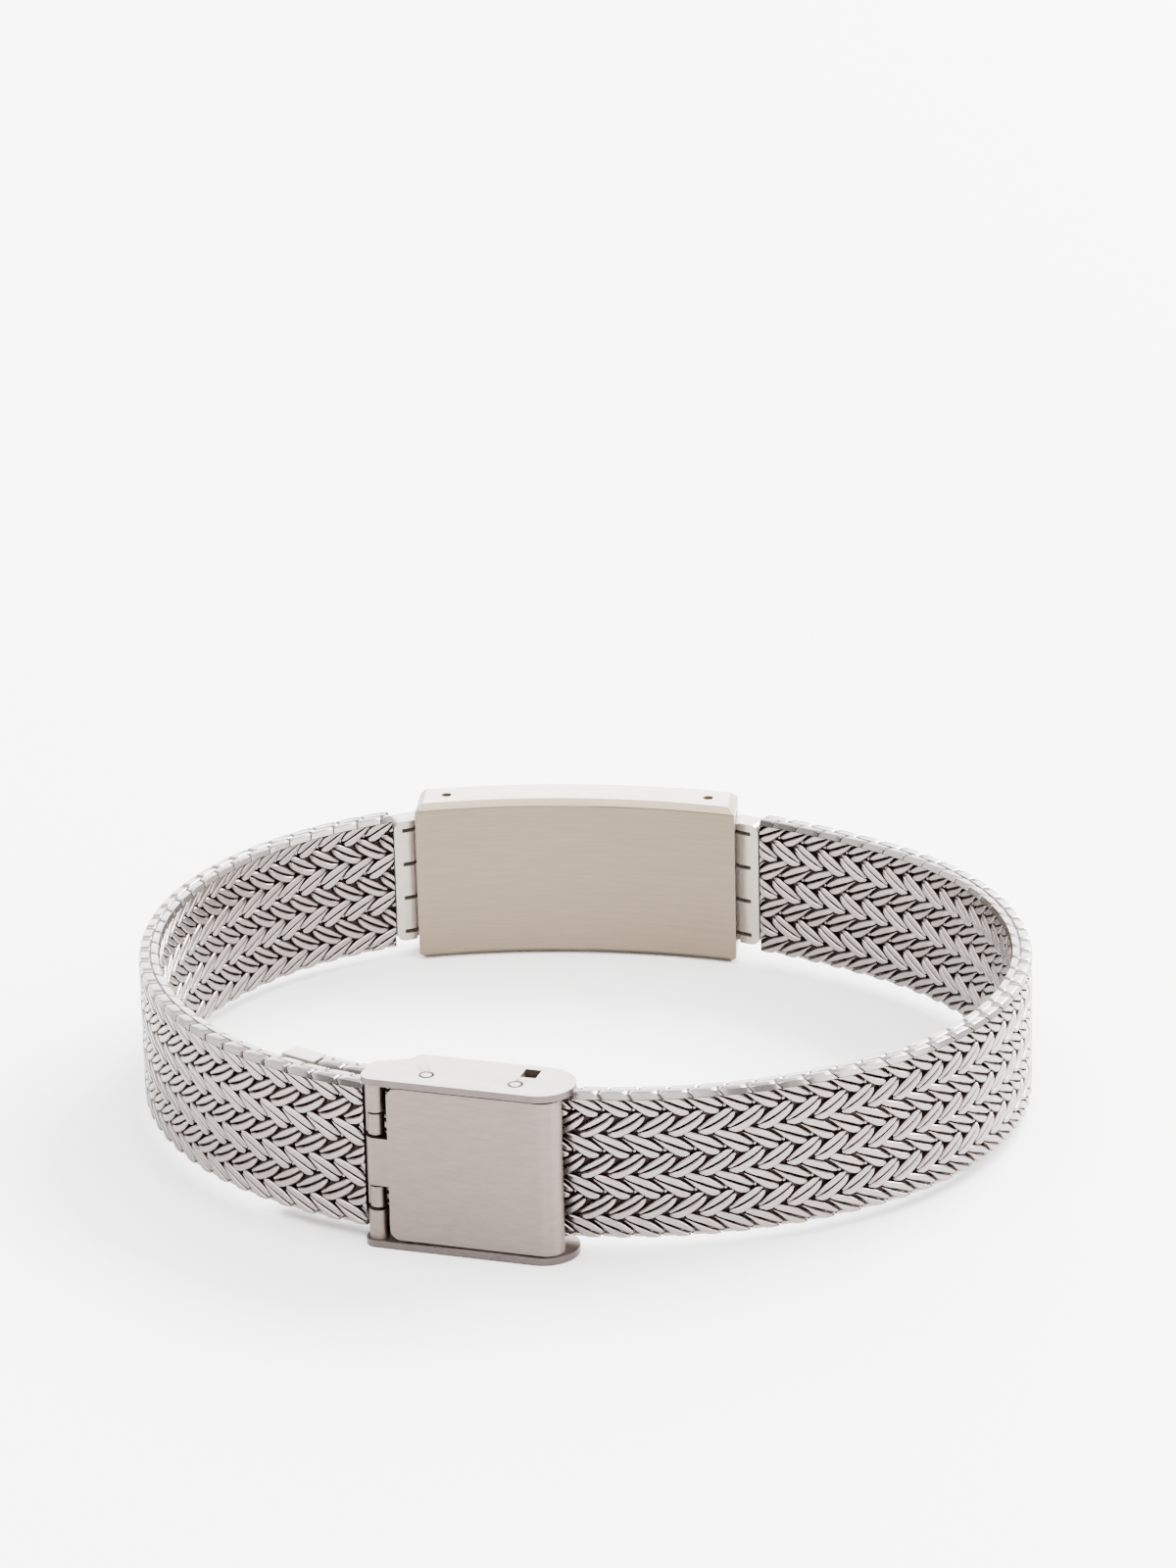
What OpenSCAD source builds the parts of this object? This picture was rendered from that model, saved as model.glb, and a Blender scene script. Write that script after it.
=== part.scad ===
// Woven mesh bracelet, closed, lying on its edge. A curved plate sits at the back of the
// loop and a sliding clasp with a hinged cover at the front. X runs along the clasp,
// Y from the clasp to the plate and Z up. All sizes are in millimetres. Zero is the
// middle of the outline, on the floor.

/* [Loop] */
// From the middle of the loop to the band's centreline at either side
loop_half_w = 34.5; // [33:0.5:36]
// Radius of the band's centreline from the clasp to the left side
clasp_side_r = 30.15; // [29.4:0.15:30.9]
// Radius of the band's centreline from the left side to the plate
back_left_r = 28.2; // [27.8:0.1:28.7]
// Furthest reach of the band's centreline towards the back
back_y = 29.95; // [29.5:0.05:30.4]
// Roundness of the loop's right side towards the back, 1 for a quarter circle
back_round = 0.92; // [0.85:0.01:0.97]
// Roundness of the loop's right side towards the front, 1 for a quarter circle
front_round = 0.9; // [0.85:0.01:0.97]
// Straight stretch of the inner layer of band inside the clasp
clasp_run = 7.35; // [6.6:0.15:8.1]
// Where the left strap meets the plate, as an angle around the loop
left_end_angle = 128.7; // [126.6:0.3:130.8]

/* [Band] */
// Width of the woven band
band_w = 11.7; // [9:0.1:15]
// Thickness of the woven band
band_t = 1.7; // [1.5:0.05:1.9]
// Length of one link along the band
link_len = 2.21; // [1.8:0.01:2.6]
// Space between the two layers of band where they overlap
layer_gap = 0.2; // [0.15:0.05:0.3]
// Length of the free end beyond the straight stretch, with its cap
tail_len = 11.2; // [9:0.2:14]
// Length of the metal cap on the free end
cap_len = 3.2; // [2.8:0.2:5]
// Thickness of the band where it is pressed to enter another piece
tongue_t = 0.9; // [0.7:0.05:1]
// Clearance around each pressed end
socket_gap = 0.12; // [0.08:0.02:0.16]

/* [Plate] */
// Length of the plate, measured straight between its ends
plate_len = 26.5; // [24:0.5:30]
// Thickness of the plate
plate_t = 4.3; // [4:0.1:4.8]
// Radius of the plate's inner face
plate_r = 50; // [44:1:60]
// How much taller the plate is than the band is wide
plate_over = 2.05; // [1.6:0.05:2.4]
// Bevel along the plate's edges
plate_bevel = 0.5; // [0.2:0.05:0.6]
// Thickness of the pocket's wall on each face of the plate
pocket_wall = 0.95; // [0.7:0.05:1.05]
// Depth of the pocket in each end of the plate
pocket_depth = 4.2; // [4:0.1:5]
// From each end of the plate to its pin
pin_inset = 2.35; // [2.2:0.05:2.6]
// Diameter of each pin in the plate
plate_pin_d = 0.76; // [0.6:0.04:0.88]

/* [End pieces] */
// Thickness of each end piece between the band and the plate
end_t = 1.9; // [1.7:0.05:2.1]
// How much less tall each end piece is than the band is wide
end_under = 1.05; // [0.9:0.05:1.4]
// From the band's end to the pin, along the band
end_len = 5; // [4.9:0.1:5.5]
// How far each pin lies inside the band's centreline
pin_inward = 0.35; // [0.2:0.05:0.45]
// Height of each short slot in an end piece
slot_h = 0.35; // [0.25:0.05:0.5]
// Distance between the slots of an end piece
slot_pitch = 3; // [1.8:0.05:3.1]

/* [Clasp] */
// Clearance between the band's edges and the clasp's two side cheeks
cheek_gap = 0.5; // [0.35:0.05:0.65]
// Thickness of each side cheek
cheek_t = 0.55; // [0.5:0.05:0.8]
// How far the cover stands out from the outer strap
cover_rise = 1; // [0.85:0.05:1.1]
// Thickness of the cover
cover_t = 0.9; // [0.75:0.05:0.95]
// Clearance between the cover and each cheek
cover_gap = 0.15; // [0.1:0.01:0.2]
// Length of the cover from the hinge's axis to the start of its curved end
cover_len = 12.9; // [12.3:0.1:13.1]
// Outer radius of the cover's curved end
curl_r = 1.6; // [1.5:0.05:1.7]
// How far the cheeks stand out in front of the cover
lip = 0.2; // [0.1:0.05:0.3]
// Thickness of the base plate under the inner layer of band
base_t = 0.4; // [0.35:0.05:0.6]
// Length of the cheeks from the hinge's axis to the round end's tip
cheek_len = 15.15; // [15:0.05:15.6]
// Diameter of the two cross bars
bar_d = 1; // [0.8:0.05:1.1]
// From the hinge's axis to the first cross bar
bar_first = 3.85; // [3.5:0.05:4.2]
// Distance between the two cross bars
bar_pitch = 6.95; // [6.4:0.05:7.05]

/* [Hinge] */
// Radius of the knuckles of the cheeks and the cover
knuckle_r = 0.78; // [0.72:0.02:0.82]
// Radius of the two small knuckles of the strap's hook
hook_knuckle_r = 0.64; // [0.6:0.02:0.72]
// Height of the cover's own knuckle
cover_knuckle_h = 3.85; // [3:0.05:4]
// Height of each small knuckle of the strap's hook
hook_knuckle_h = 1.65; // [1.2:0.05:1.7]
// Space between two knuckles
knuckle_gap = 0.22; // [0.14:0.01:0.26]
// Diameter of the hinge's pin
hinge_pin_d = 0.7; // [0.6:0.02:0.76]
// Radial clearance of every pin in its bore
pin_gap = 0.04; // [0.03:0.01:0.06]

/* [Hidden] */
$fn = 120;

// Heights above the floor
clasp_h = band_w + 2 * (cheek_gap + cheek_t);
plate_h = band_w + plate_over;
mid_z = (clasp_h + plate_h) / 4;
band_z = mid_z - band_w / 2;
end_h = band_w - end_under;

// The loop's centreline: left side, tangent arcs on the right, inner layer and tail
layer = band_t + layer_gap;
left_cx = clasp_side_r - loop_half_w;
back_left_cx = back_left_r - loop_half_w;
front_y = clasp_side_r - layer;
flat_x = left_cx + clasp_run;

// A quarter of the loop in two arcs that meet smoothly. The tighter one has its share of
// the shorter reach for a radius. Gives the radius at the front or back, the radius at
// the side, and the angle between the Y axis and the point where the arcs meet.
function wide_r(long, short, c) =
  (pow(long - c, 2) + short * short - c * c) / (2 * (short - c));
function quarter(run, reach, share) = let (c = share * min(run, reach),
    wide = wide_r(max(run, reach), min(run, reach), c))
  run > reach ? [wide, c, atan2(run - c, wide - reach)]
  : [c, wide, atan2(wide - run, reach - c)];
back = quarter(loop_half_w - left_cx, back_y, back_round);
front = quarter(loop_half_w - flat_x, front_y, front_round);
back_r = back[0];
front_r = front[0];
back_join = back[2];
front_join = front[2];
tail_angle = tail_len / front_y * 180 / PI;
cap_angle = cap_len / front_y * 180 / PI;

// The plate hangs between two pins. The right strap starts where its own pin is just
// one plate away from the left one.
plate_mid_r = plate_r + plate_t / 2;
pin_x = plate_len / 2 - pin_inset;
chord_y = sqrt(plate_r * plate_r - plate_len * plate_len / 4);
pin_y = sqrt(plate_mid_r * plate_mid_r - pin_x * pin_x) - chord_y;
function polar(r, a) = [r * cos(a), r * sin(a)];
left_pin = [back_left_cx, 0] + polar(back_left_r - pin_inward, left_end_angle)
  + polar(end_len, left_end_angle - 90);
function right_pin_at(a) = [left_cx, back_y - back_r] + polar(back_r - pin_inward, a)
  + polar(end_len, a + 90);
function too_near(a) = norm(right_pin_at(a) - left_pin) < 2 * pin_x;
function find_angle(lo, hi, n) = n == 0 ? (lo + hi) / 2
  : too_near((lo + hi) / 2) ? find_angle(lo, (lo + hi) / 2, n - 1)
  : find_angle((lo + hi) / 2, hi, n - 1);
right_end_angle = find_angle(90 - back_join, 105, 30);
right_pin = right_pin_at(right_end_angle);
chord = right_pin - left_pin;
plate_turn = atan2(chord.y, chord.x);
plate_at = (left_pin + right_pin) / 2 - polar(pin_y, plate_turn + 90);

// Plate pockets and the lugs that turn in them
pocket_h = end_h + 0.45;
lug_gap = 0.25;
lug_t = plate_t - 2 * (pocket_wall + lug_gap);
lug_h = end_h - 0.3;
lug_reach = 0.6;
plate_gap = 0.25;
pin_sink = 0.3;
socket_depth = 0.6;
slot_depth = 0.8;
slot_gap = 0.2;
slot_len = end_len - pin_inset - socket_depth;
strap_gap = 0.1;
corner_r = 0.7;

// Clasp levels, from the cover's face inwards
cover_front = -(clasp_side_r + band_t / 2 + cover_rise);
cover_back = cover_front + cover_t;
cheek_front = cover_front - lip;
base_gap = 0.2;
base_front = -front_y + band_t / 2 + base_gap;
cheek_back = base_front + base_t;
hinge_x = left_cx - 2.25;
hinge_y = cover_back;
bar_gap = 0.2;
bar_y = cover_back + bar_gap + bar_d / 2;
nose_r = (cheek_back - cheek_front) / 2;
nose_x = hinge_x + cheek_len - nose_r;
base_from = hinge_x + 2.5;
base_to = hinge_x + bar_first + bar_pitch + bar_d / 2 + 0.2;
ring_w = 0.1;
ring_depth = 0.15;
slot_ledge = 0.2;

// Hinge levels
pin_cover = 0.2;
cover_z = cheek_t + cover_gap;
cover_h = clasp_h - 2 * cover_z;
knuckle_z = clasp_h / 2 - cover_knuckle_h / 2;
hook_z = knuckle_z - knuckle_gap - hook_knuckle_h;
outer_top = hook_z - knuckle_gap;
bore_r = hinge_pin_d / 2 + pin_gap;

// Hook that is held in the left strap's end
strap_end_x = hinge_x - 1.05;
hook_angle = asin((left_cx - strap_end_x) / clasp_side_r);
hook_t = 0.4;
hook_depth = 2;
hook_h = clasp_h - 2 * hook_z;

// Zero is the middle of the outline
back_edge = max((plate_at + polar(plate_r + plate_t - chord_y, plate_turn + 90)).y,
  (plate_at + polar(-chord_y, plate_turn + 90)).y + plate_r + plate_t,
  back_y + band_t / 2);
shift_y = -(back_edge + cheek_front) / 2;

module id_plate() {
  color("#c4bcb0") in_plate() difference() {
    intersection() {
      plate_block();
      translate([0, plate_t * 2, 0]) rotate([90, 0, 0])
        linear_extrude(plate_t * 4) plate_face();
    }
    for (s = [-1, 1]) {
      intersection() {
        plate_arc(pocket_wall, pocket_h);
        translate([s * plate_len / 2 - pocket_depth, -plate_t * 2, 0])
          cube([2 * pocket_depth, plate_t * 6, plate_h]);
      }
      translate([s * pin_x, pin_y, -1])
        cylinder(r = plate_pin_d / 2 + pin_gap / 2, h = plate_h + 2);
    }
  }
}

module end_piece_left() {
  color("#d2cdc8") end_piece(-1);
}

module end_piece_right() {
  color("#d2cdc8") end_piece(1);
}

module plate_pin_left() {
  color("#8c8a88") plate_pin(-1);
}

module plate_pin_right() {
  color("#8c8a88") plate_pin(1);
}

module strap_left() {
  color("#a8a5a2") in_frame() difference() {
    union() {
      band([[[left_cx, 0], clasp_side_r, 270 - hook_angle, 180, 0],
        [[back_left_cx, 0], back_left_r, 180, left_end_angle, 1]]);
      at_strap_end(-1) strap_tongue();
    }
    at_hook() translate([-hook_depth - 0.2, -hook_t / 2 - socket_gap, -hook_h / 2 - 0.2])
      cube([hook_depth + 1.2, hook_t + 2 * socket_gap, hook_h + 0.4]);
  }
}

module strap_right() {
  cap_start = 270 - tail_angle + cap_angle;
  color("#a8a5a2") in_frame() union() {
    band([[[left_cx, back_y - back_r], back_r, right_end_angle, 90 - back_join, 0],
      [[loop_half_w - back[1], 0], back[1], 90 - back_join, 0, 1],
      [[loop_half_w - front[1], 0], front[1], 0, front_join - 90, 1],
      [[flat_x, front_r - front_y], front_r, front_join - 90, -90, 1],
      [[left_cx, 0], front_y, -90, cap_start - 360, 0]]);
    at_strap_end(1) strap_tongue();
    translate([0, 0, mid_z - end_h / 2])
      wall([left_cx, 0], front_y, tongue_t, end_h, cap_start - cap_angle * 0.6,
        cap_start + 1);
  }
}

module tail_cap() {
  tip = 270 - tail_angle;
  gap_angle = strap_gap / front_y * 180 / PI;
  color("#cfcac4") in_frame() difference() {
    translate([0, 0, band_z])
      wall([left_cx, 0], front_y, band_t, band_w, tip, tip + cap_angle - gap_angle);
    translate([0, 0, mid_z - end_h / 2 - socket_gap])
      wall([left_cx, 0], front_y, tongue_t + 2 * socket_gap, end_h + 2 * socket_gap,
        tip + cap_angle * 0.35, tip + cap_angle + 1);
  }
}

module clasp_frame() {
  color("#b9b3b0") in_frame() difference() {
    union() {
      for (z = [0, clasp_h - cheek_t]) translate([0, 0, z])
        linear_extrude(cheek_t) cheek_outline();
      translate([base_from, base_front, 0])
        cube([base_to - base_from, base_t, clasp_h]);
      for (x = [0, bar_pitch]) translate([hinge_x + bar_first + x, bar_y, 0])
        cylinder(d = bar_d, h = clasp_h);
      for (z = [0, clasp_h - outer_top]) translate([hinge_x, hinge_y, z])
        cylinder(r = knuckle_r, h = outer_top);
    }
    translate([hinge_x, hinge_y, pin_cover])
      cylinder(r = bore_r, h = clasp_h - 2 * pin_cover);
    for (z = [-1, clasp_h - ring_depth], x = [0, bar_pitch])
      translate([hinge_x + bar_first + x, bar_y, z]) difference() {
        cylinder(d = bar_d, h = ring_depth + 1);
        translate([0, 0, -1]) cylinder(d = bar_d - 2 * ring_w, h = ring_depth + 3);
      }
    for (z = [-1, clasp_h - cheek_t - 0.1]) translate([0, 0, z])
      linear_extrude(cheek_t + 1.1) cheek_slot(0.7, 1);
    for (z = [-1, clasp_h - slot_ledge]) translate([0, 0, z])
      linear_extrude(slot_ledge + 1) cheek_slot(1.6, 0.65);
  }
}

module clasp_cover() {
  web = 0.2;
  color("#bdb7b4") in_frame() difference() {
    union() {
      translate([0, cover_back, 0]) rotate([90, 0, 0]) linear_extrude(cover_t)
        cover_face();
      translate([0, 0, cover_z])
        wall([hinge_x + cover_len, cover_front + curl_r], curl_r - cover_t / 2, cover_t,
          cover_h, 270, 350);
      translate([hinge_x, hinge_y, knuckle_z]) {
        cylinder(r = knuckle_r, h = cover_knuckle_h);
        translate([0, -knuckle_r, 0])
          cube([cover_start - hinge_x + web, knuckle_r, cover_knuckle_h]);
      }
    }
    translate([hinge_x, hinge_y, 0]) cylinder(r = bore_r, h = clasp_h);
  }
}

module hinge_pin() {
  color("#7d7b79") in_frame() translate([hinge_x, hinge_y, pin_cover + strap_gap])
    cylinder(d = hinge_pin_d, h = clasp_h - 2 * (pin_cover + strap_gap));
}

module strap_hook() {
  neck = 0.8;
  color("#a9a4a1") in_frame() difference() {
    union() {
      at_hook() translate([-hook_depth, -hook_t / 2, -hook_h / 2])
        cube([hook_depth + 0.2, hook_t, hook_h]);
      for (z = [hook_z, clasp_h - hook_z - hook_knuckle_h]) {
        translate([hinge_x, hinge_y, z])
          cylinder(r = hook_knuckle_r, h = hook_knuckle_h);
        translate([hinge_x - neck, hinge_y, z])
          cube([neck, hook_line - hinge_y, hook_knuckle_h]);
        translate([0, 0, z - mid_z + hook_knuckle_h / 2]) at_hook()
          translate([0, -hook_t / 2, -hook_knuckle_h / 2])
          cube([0.7, hook_t, hook_knuckle_h]);
      }
    }
    translate([hinge_x, hinge_y, 0]) cylinder(r = bore_r, h = clasp_h);
  }
}

// Where the cover's flat part begins, beside the knuckles
cover_start = hinge_x + 1.15;
// Level of the hook's inner face where it leaves the strap
hook_line = -sqrt(clasp_side_r * clasp_side_r - pow(left_cx - strap_end_x, 2)) + hook_t / 2;

// Frame of the finished bracelet
module in_frame() {
  translate([0, shift_y, 0]) children();
}

// Frame of the plate: X along it, Y outwards, zero between the inner face's ends
module in_plate() {
  in_frame() translate([plate_at.x, plate_at.y, 0]) rotate(plate_turn) children();
}

// Frame of a strap's end at the plate: X towards the plate, Y outwards, Z from mid height
module at_strap_end(side) {
  if (side < 0)
    translate([back_left_cx + back_left_r * cos(left_end_angle),
      back_left_r * sin(left_end_angle), mid_z]) rotate(left_end_angle - 90) children();
  else
    translate([left_cx + back_r * cos(right_end_angle),
      back_y - back_r + back_r * sin(right_end_angle), mid_z])
      rotate(right_end_angle + 90) mirror([0, 1, 0]) children();
}

// Frame of the left strap's end at the clasp: X towards the hinge, Z from mid height
module at_hook() {
  translate([strap_end_x, hook_line - hook_t / 2, mid_z]) rotate(-hook_angle) children();
}

// A strap along a row of arcs, each [centre, radius, first angle, last angle, first step],
// in steps of about one link
function arc_steps(s) = ceil(s[1] * abs(s[3] - s[2]) * PI / 180 / link_len);
function arc_points(s, off, n) = [for (i = [s[4]:n])
  s[0] + polar(s[1] + off, s[2] + (s[3] - s[2]) * i / n)];
function side_points(arcs, off) = [for (s = arcs) each arc_points(s, off, arc_steps(s))];
function reversed(v) = [for (i = [len(v) - 1:-1:0]) v[i]];
module band(arcs) {
  translate([0, 0, band_z]) linear_extrude(band_w)
    polygon(concat(side_points(arcs, band_t / 2), reversed(side_points(arcs, -band_t / 2))));
}

// Curved wall of radius r at its middle, from angle a0 to a1
module wall(c, r, t, h, a0, a1) {
  translate([c.x, c.y, 0]) rotate(a0) rotate_extrude(angle = a1 - a0)
    translate([r - t / 2, 0]) square([t, h]);
}

// Half the angle that the plate's arcs are drawn over, a little past its ends
arc_half = asin((plate_len / 2 + 3) / plate_r);

// The plate's curved block with bevelled edges, before its ends are cut
module plate_block() {
  inner = plate_r;
  outer = plate_r + plate_t;
  b = plate_bevel;
  h = plate_h;
  translate([0, -chord_y, 0]) rotate(90 - arc_half) rotate_extrude(angle = 2 * arc_half)
    polygon([[inner + b, 0], [outer - b, 0], [outer, b], [outer, h - b], [outer - b, h],
      [inner + b, h], [inner, h - b], [inner, b]]);
}

// A plain arc inside the plate, inset from both faces, at mid height
module plate_arc(inset, h) {
  translate([0, 0, mid_z - h / 2]) wall([0, -chord_y], plate_mid_r, plate_t - 2 * inset, h,
    90 - arc_half, 90 + arc_half);
}

// The plate seen from the front, with bevelled corners
module plate_face() {
  x = plate_len / 2;
  b = plate_bevel;
  polygon([[b - x, 0], [x - b, 0], [x, b], [x, plate_h - b], [x - b, plate_h],
    [b - x, plate_h], [-x, plate_h - b], [-x, b]]);
}

// Pressed end of a strap, held inside the end piece
module strap_tongue() {
  translate([-1, -tongue_t / 2, 1 - end_h / 2])
    cube([1 + socket_depth - strap_gap, tongue_t, end_h - 2]);
}

module end_piece(side) {
  difference() {
    union() {
      difference() {
        in_frame() at_strap_end(side) end_body();
        in_plate() translate([-plate_len / 2 - plate_gap, -plate_t * 2, -1])
          cube([plate_len + 2 * plate_gap, plate_t * 5, plate_h + 2]);
      }
      lug(side);
    }
    in_plate() translate([side * pin_x, pin_y, -1])
      cylinder(r = plate_pin_d / 2 + pin_gap, h = plate_h + 2);
    in_frame() at_strap_end(side) {
      translate([-1, -tongue_t / 2 - socket_gap, -end_h / 2 + 1 - socket_gap])
        cube([1 + socket_depth, tongue_t + 2 * socket_gap, end_h - 2 + 2 * socket_gap]);
      for (i = [-1.5:1.5])
        translate([socket_depth + slot_gap, -end_t, i * slot_pitch - slot_h / 2])
          cube([slot_len, end_t / 2 + slot_depth, slot_h]);
    }
  }
}

// Visible part of an end piece, its two corners beside the band rounded
module end_body() {
  x = strap_gap + corner_r;
  z = end_h / 2 - corner_r;
  rotate([90, 0, 0]) translate([0, 0, -end_t / 2]) linear_extrude(end_t)
    polygon([[x + end_len, -end_h / 2], [x + end_len, end_h / 2],
      each corner([x, z], corner_r, 90), each corner([x, -z], corner_r, 180)]);
}

// Points of a rounded corner, a quarter turn from angle a
function corner(c, r, a) = [for (i = [0:6]) c + polar(r, a + i * 15)];

// Lug of an end piece that turns on the pin inside the plate's pocket
module lug(side) {
  in_plate() {
    intersection() {
      plate_arc(pocket_wall + lug_gap, lug_h);
      translate([side > 0 ? pin_x : -plate_len / 2 - lug_reach, -plate_t * 2, 0])
        cube([pin_inset + lug_reach, plate_t * 6, plate_h]);
    }
    translate([side * pin_x, pin_y, mid_z - lug_h / 2 + 0.1])
      cylinder(d = lug_t - 0.2, h = lug_h - 0.2);
  }
}

module plate_pin(side) {
  in_plate() translate([side * pin_x, pin_y, pin_sink])
    cylinder(d = plate_pin_d, h = plate_h - 2 * pin_sink);
}

// Outline of a cheek: round at the right, narrow with a round tip around the hinge
module cheek_outline() {
  tip_r = 1;
  tip_back = cheek_back - 1.85;
  step_from = hinge_x + 1.65;
  step_to = hinge_x + 2.3;
  step_depth = 1.05;
  translate([nose_x, (cheek_front + cheek_back) / 2]) circle(nose_r);
  polygon([[nose_x, cheek_front], [nose_x, cheek_back], [step_to, cheek_back],
    [step_from, cheek_back - step_depth], [hinge_x, tip_back], [hinge_x, cheek_front]]);
  translate([hinge_x, cheek_front + tip_r]) circle(tip_r);
  translate([hinge_x, tip_back - tip_r]) circle(tip_r);
  translate([hinge_x - tip_r, cheek_front + tip_r])
    square([tip_r, tip_back - cheek_front - 2 * tip_r]);
}

// Slot in a cheek beside the second bar, a distance from the cheek's back and so wide
module cheek_slot(inset, w) {
  before_bar = 0.1;
  length = 1.25;
  translate([hinge_x + bar_first + bar_pitch - before_bar, cheek_back - inset - w])
    square([length, w]);
}

// The cover seen from the front, its two corners beside the hinge rounded
module cover_face() {
  r = 0.8;
  x = hinge_x + cover_len;
  polygon([[x, cover_z], [x, cover_z + cover_h],
    each corner([cover_start + r, cover_z + cover_h - r], r, 90),
    each corner([cover_start + r, cover_z + r], r, 180)]);
}

id_plate();
end_piece_left();
end_piece_right();
plate_pin_left();
plate_pin_right();
strap_left();
strap_right();
tail_cap();
clasp_frame();
clasp_cover();
hinge_pin();
strap_hook();
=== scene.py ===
"""Looks of the woven mesh bracelet: weave, metals, floor, light and camera."""

import math

import bmesh
import bpy
import numpy as np
from mathutils import Matrix, Vector


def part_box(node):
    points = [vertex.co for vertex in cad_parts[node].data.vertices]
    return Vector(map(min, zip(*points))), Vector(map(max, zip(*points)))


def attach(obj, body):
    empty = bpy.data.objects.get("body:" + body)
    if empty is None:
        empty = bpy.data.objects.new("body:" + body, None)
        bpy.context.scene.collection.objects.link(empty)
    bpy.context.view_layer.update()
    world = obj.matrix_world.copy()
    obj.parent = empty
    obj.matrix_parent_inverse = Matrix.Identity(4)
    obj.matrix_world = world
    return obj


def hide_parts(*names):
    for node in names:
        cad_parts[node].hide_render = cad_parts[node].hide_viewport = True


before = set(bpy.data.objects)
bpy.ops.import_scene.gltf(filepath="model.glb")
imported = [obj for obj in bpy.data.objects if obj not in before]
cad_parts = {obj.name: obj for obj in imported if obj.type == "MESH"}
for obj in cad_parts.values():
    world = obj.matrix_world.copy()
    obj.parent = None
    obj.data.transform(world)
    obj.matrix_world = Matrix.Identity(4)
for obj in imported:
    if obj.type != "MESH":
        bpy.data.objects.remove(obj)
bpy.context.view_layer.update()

# Sizes are in millimetres. These repeat the part's driving dimensions.
MM = 0.001
LOOP_HALF_W = 34.5
CLASP_SIDE_R = 30.15
BACK_LEFT_R = 28.2
BACK_Y = 29.95
BACK_ROUND = 0.92
FRONT_ROUND = 0.9
CLASP_RUN = 7.35
LEFT_END_ANGLE = 128.7
BAND_T = 1.7
LINK_LEN = 2.21
LAYER_GAP = 0.2
TAIL_LEN = 11.2
CAP_LEN = 3.2
CHEEK_FRONT = -32.2
CHEEK_T = 0.55
STRAP_END_FROM_RUN = 3.3
HINGE_FROM_RUN = 2.25
BAR_FIRST = 3.85
BAR_PITCH = 6.95
BAR_BEHIND_CHEEK_FRONT = 1.8

HALF_T = BAND_T / 2


def node_box(name):
    """A CAD node's box in millimetres."""
    low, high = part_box(name)
    return np.array(low) / MM, np.array(high) / MM


band_low, band_high = node_box("strap_left")
frame_low, frame_high = node_box("clasp_frame")
BAND_Z = band_low[2]
BAND_W = band_high[2] - band_low[2]
CLASP_H = frame_high[2]
SHIFT_Y = frame_low[1] - CHEEK_FRONT


# Centreline of the band
def wide_radius(long, short, c):
    """The wide arc's radius where a quarter is long by short and its tight arc is c."""
    return ((long - c) ** 2 + short * short - c * c) / (2 * (short - c))


def quarter(run, reach, share):
    """A quarter of the loop in two arcs: end radius, side radius, joining angle."""
    c = share * min(run, reach)
    wide = wide_radius(max(run, reach), min(run, reach), c)
    if run > reach:
        return wide, c, math.degrees(math.atan2(run - c, wide - reach))
    return c, wide, math.degrees(math.atan2(wide - run, reach - c))


LEFT_CX = CLASP_SIDE_R - LOOP_HALF_W
BACK_LEFT_CX = BACK_LEFT_R - LOOP_HALF_W
FRONT_Y = CLASP_SIDE_R - BAND_T - LAYER_GAP
FLAT_X = LEFT_CX + CLASP_RUN
BACK_R, BACK_SIDE_R, BACK_JOIN = quarter(LOOP_HALF_W - LEFT_CX, BACK_Y, BACK_ROUND)
FRONT_R, FRONT_SIDE_R, FRONT_JOIN = quarter(LOOP_HALF_W - FLAT_X, FRONT_Y, FRONT_ROUND)
HOOK_ANGLE = math.degrees(math.asin(STRAP_END_FROM_RUN / CLASP_SIDE_R))
CAP_START = 270 - math.degrees((TAIL_LEN - CAP_LEN) / FRONT_Y)
# How far inside the band's outer face a point of the CAD strap still counts as on it
ON_OUTER_FACE = 0.05


def right_end_angle():
    """Where the right strap ends at the plate, read from the CAD strap's outer face."""
    best = 90.0 - BACK_JOIN
    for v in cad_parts["strap_right"].data.vertices:
        x = v.co.x / MM - LEFT_CX
        y = v.co.y / MM - SHIFT_Y - BACK_Y + BACK_R
        if y > BACK_R / 2 and math.hypot(x, y) > BACK_R + HALF_T - ON_OUTER_FACE:
            best = max(best, math.degrees(math.atan2(y, x)))
    return best


ARC_STEP = 0.05
SAME_POINT = 1e-9


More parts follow.
